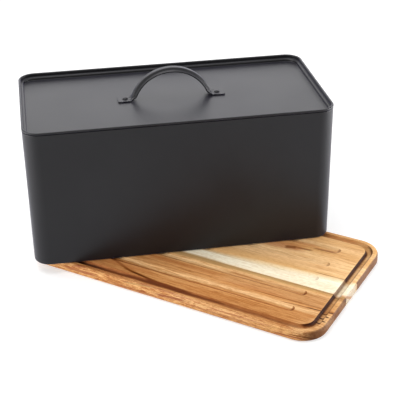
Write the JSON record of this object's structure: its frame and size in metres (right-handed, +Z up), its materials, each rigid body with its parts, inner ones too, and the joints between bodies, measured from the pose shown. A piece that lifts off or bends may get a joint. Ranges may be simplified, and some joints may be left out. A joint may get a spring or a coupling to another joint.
{
  "type": "bread bin",
  "caption": "Rectangular coated-steel bread bin with a lift-off tray lid, a riveted strap handle and a grooved wooden board under it.",
  "frame": {"origin": "on the board's underside, straight below the middle of the bin", "axes": "+Z up, +X along the bin's length, +Y towards the back wall"},
  "size_m": [0.3841, 0.358, 0.2028],
  "materials": {
    "black_coat": "fine satin powder coat",
    "coated_rivet": "satin coat over domed steel",
    "wood_warm": "oiled, with brown heartwood grain",
    "wood_pale": "oiled, pale sapwood",
    "wood_gold": "oiled, golden brown heartwood"
  },
  "bodies": {
    "board": {"board_stave_1": "wood_warm", "board_stave_2": "wood_warm", "board_stave_3": "wood_pale", "board_stave_4": "wood_gold", "board_stave_5": "wood_warm"},
    "bin": {"body_wall": "black_coat", "base_pan": "black_coat"},
    "lid": {"lid_pan": "black_coat", "handle_strap": "black_coat", "rivet_left": "coated_rivet", "rivet_right": "coated_rivet"}
  },
  "joints": [
    {"name": "bin_lift", "type": "slide", "parent": "board", "child": "bin", "axis": [0, 0, 1], "range_m": [0, 0.08]},
    {"name": "lid_lift", "type": "slide", "parent": "bin", "child": "lid", "axis": [0, 0, 1], "range_m": [0, 0.12]}
  ]
}
